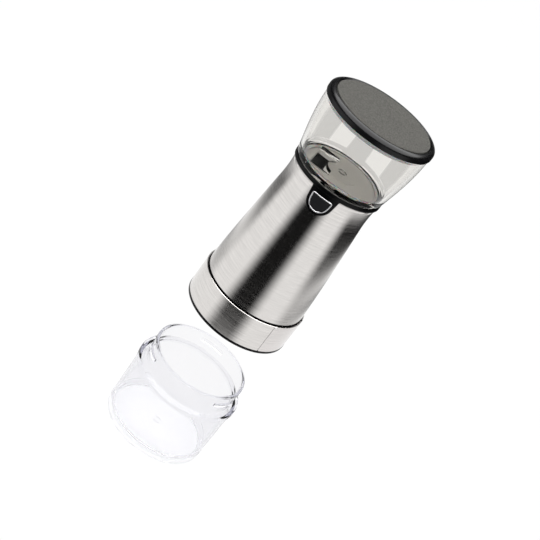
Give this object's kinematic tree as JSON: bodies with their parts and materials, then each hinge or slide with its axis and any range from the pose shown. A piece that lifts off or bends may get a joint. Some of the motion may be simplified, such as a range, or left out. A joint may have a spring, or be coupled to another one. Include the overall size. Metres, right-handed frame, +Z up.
{
  "type": "electric spice grinder",
  "caption": "Upright motorised spice mill: steel-sleeved body with a front push button, clear lidded hopper on top, and a clear twist-lock jar drawn off below.",
  "frame": {"origin": "centre of the jar's foot, on the surface that the jar stands on", "axes": "+Z up along the mill's axis, -Y is the front with the button, +X is to the right seen from the front"},
  "size_m": [0.0704, 0.0704, 0.2535],
  "materials": {
    "lid_black": "satin moulded plastic, faint spark-eroded grain",
    "lid_grey": "fine-grained soft-touch plastic",
    "clear_hopper": "clear moulded styrene, thick at the foot",
    "silicone": "translucent silicone",
    "black_plastic": "semi-gloss black moulded plastic",
    "button_grey": "dark grey moulded plastic",
    "silver_trim": "bright plated trim",
    "brushed_steel": "stainless steel brushed round the axis",
    "deck_grey": "grey moulded plastic",
    "clear_jar": "clear moulded styrene with a faint violet cast",
    "white_nylon": "natural nylon",
    "dark_plastic": "black moulded plastic",
    "circuit_green": "green laminate",
    "motor_steel": "plated steel",
    "magnet": "sintered ferrite",
    "copper": "laminations and enamelled copper windings",
    "bright_steel": "machined steel",
    "brass": "brass and sintered bronze",
    "burr_steel": "hardened steel",
    "cell_wrap": "plastic-wrapped steel can"
  },
  "bodies": {
    "housing": {"hopper_cup": "clear_hopper", "hopper_gasket": "silicone", "collar_panel": "black_plastic", "button_trim": "silver_trim", "micro_switch": "dark_plastic", "circuit_board": "circuit_green", "outer_sleeve": "brushed_steel", "inner_chassis": "black_plastic", "deck_plate": "deck_grey", "motor_cover": "deck_grey", "feed_chute": "black_plastic", "motor_can": "motor_steel", "motor_end_cap": "dark_plastic", "motor_magnets": "magnet", "motor_plate": "motor_steel", "motor_screws": "bright_steel", "gearbox_housing": "motor_steel", "upper_bush": "brass", "lower_bush": "brass", "drive_frame": "dark_plastic", "frame_screws": "bright_steel", "battery_cell_1": "cell_wrap", "battery_cell_2": "cell_wrap", "battery_cell_3": "cell_wrap", "battery_cradle": "dark_plastic", "battery_contacts": "brass", "charging_port": "motor_steel", "burr_chamber": "black_plastic", "burr_holder": "black_plastic", "base_band": "brushed_steel", "band_panel": "brushed_steel", "base_rim": "black_plastic", "jar_socket": "black_plastic", "base_screws": "bright_steel"},
    "lid": {"lid_cap": "lid_black", "lid_pad": "lid_grey", "lid_seal": "silicone"},
    "button": {"push_button": "button_grey", "switch_plunger": "white_nylon"},
    "motor_rotor": {"motor_armature": "copper", "motor_pinion": "brass"},
    "first_stage": {"first_carrier": "bright_steel"},
    "output": {"output_carrier": "bright_steel", "drive_shaft": "bright_steel", "cone_burr": "burr_steel", "burr_nut": "bright_steel"},
    "first_planet_1": {"first_planet_1": "white_nylon"},
    "first_planet_2": {"first_planet_2": "white_nylon"},
    "first_planet_3": {"first_planet_3": "white_nylon"},
    "second_planet_1": {"second_planet_1": "white_nylon"},
    "second_planet_2": {"second_planet_2": "white_nylon"},
    "second_planet_3": {"second_planet_3": "white_nylon"},
    "adjuster": {"grind_adjuster": "black_plastic"},
    "ring_burr": {"ring_burr": "burr_steel"},
    "jar_ring": {"jar_seal": "silicone"},
    "jar": {"jar": "clear_jar"}
  },
  "joints": [
    {"name": "lid_lift", "type": "slide", "parent": "housing", "child": "lid", "axis": [0, 0, 1], "range_m": [0, 0.03]},
    {"name": "button_press", "type": "slide", "parent": "housing", "child": "button", "axis": [0, 1, 0], "range_m": [0, 0.0012], "stiffness_N_per_m": 600, "springref_m": -0.0008},
    {"name": "output_turn", "type": "hinge", "parent": "housing", "child": "output", "pos_m": [0, 0, 0.1402], "axis": [0, 0, 1], "continuous": true},
    {"name": "motor_spin", "type": "hinge", "parent": "housing", "child": "motor_rotor", "pos_m": [0, 0, 0.1902], "axis": [0, 0, 1], "continuous": true},
    {"name": "first_stage_turn", "type": "hinge", "parent": "housing", "child": "first_stage", "pos_m": [0, 0, 0.1682], "axis": [0, 0, 1], "continuous": true},
    {"name": "first_planet_1_spin", "type": "hinge", "parent": "first_stage", "child": "first_planet_1", "pos_m": [0.00525, 0, 0.1727], "axis": [0, 0, 1], "continuous": true},
    {"name": "first_planet_2_spin", "type": "hinge", "parent": "first_stage", "child": "first_planet_2", "pos_m": [-0.00263, 0.00455, 0.1727], "axis": [0, 0, 1], "continuous": true},
    {"name": "first_planet_3_spin", "type": "hinge", "parent": "first_stage", "child": "first_planet_3", "pos_m": [-0.00263, -0.00455, 0.1727], "axis": [0, 0, 1], "continuous": true},
    {"name": "second_planet_1_spin", "type": "hinge", "parent": "output", "child": "second_planet_1", "pos_m": [0.00525, 0, 0.1662], "axis": [0, 0, 1], "continuous": true},
    {"name": "second_planet_2_spin", "type": "hinge", "parent": "output", "child": "second_planet_2", "pos_m": [-0.00263, 0.00455, 0.1662], "axis": [0, 0, 1], "continuous": true},
    {"name": "second_planet_3_spin", "type": "hinge", "parent": "output", "child": "second_planet_3", "pos_m": [-0.00263, -0.00455, 0.1662], "axis": [0, 0, 1], "continuous": true},
    {"name": "adjuster_turn", "type": "hinge", "parent": "housing", "child": "adjuster", "pos_m": [0, 0, 0.1082], "axis": [0, 0, 1], "range_deg": [0, 270]},
    {"name": "burr_lift", "type": "slide", "parent": "housing", "child": "ring_burr", "axis": [0, 0, 1], "range_m": [0, 0.0008]},
    {"name": "jar_slide", "type": "slide", "parent": "housing", "child": "jar_ring", "axis": [0, 0, 1], "range_m": [0, 0.0564]},
    {"name": "jar_twist", "type": "hinge", "parent": "jar_ring", "child": "jar", "pos_m": [0, 0, 0.05], "axis": [0, 0, 1], "range_deg": [0, 40]}
  ],
  "couplings": [
    {"joint": "motor_spin", "follows": "output_turn", "ratio": 21.778},
    {"joint": "first_stage_turn", "follows": "output_turn", "ratio": 4.6667},
    {"joint": "first_planet_1_spin", "follows": "output_turn", "ratio": -12.833},
    {"joint": "first_planet_2_spin", "follows": "output_turn", "ratio": -12.833},
    {"joint": "first_planet_3_spin", "follows": "output_turn", "ratio": -12.833},
    {"joint": "second_planet_1_spin", "follows": "output_turn", "ratio": -2.75},
    {"joint": "second_planet_2_spin", "follows": "output_turn", "ratio": -2.75},
    {"joint": "second_planet_3_spin", "follows": "output_turn", "ratio": -2.75},
    {"joint": "adjuster_turn", "follows": "burr_lift", "rad_per_m": 5890.4}
  ]
}
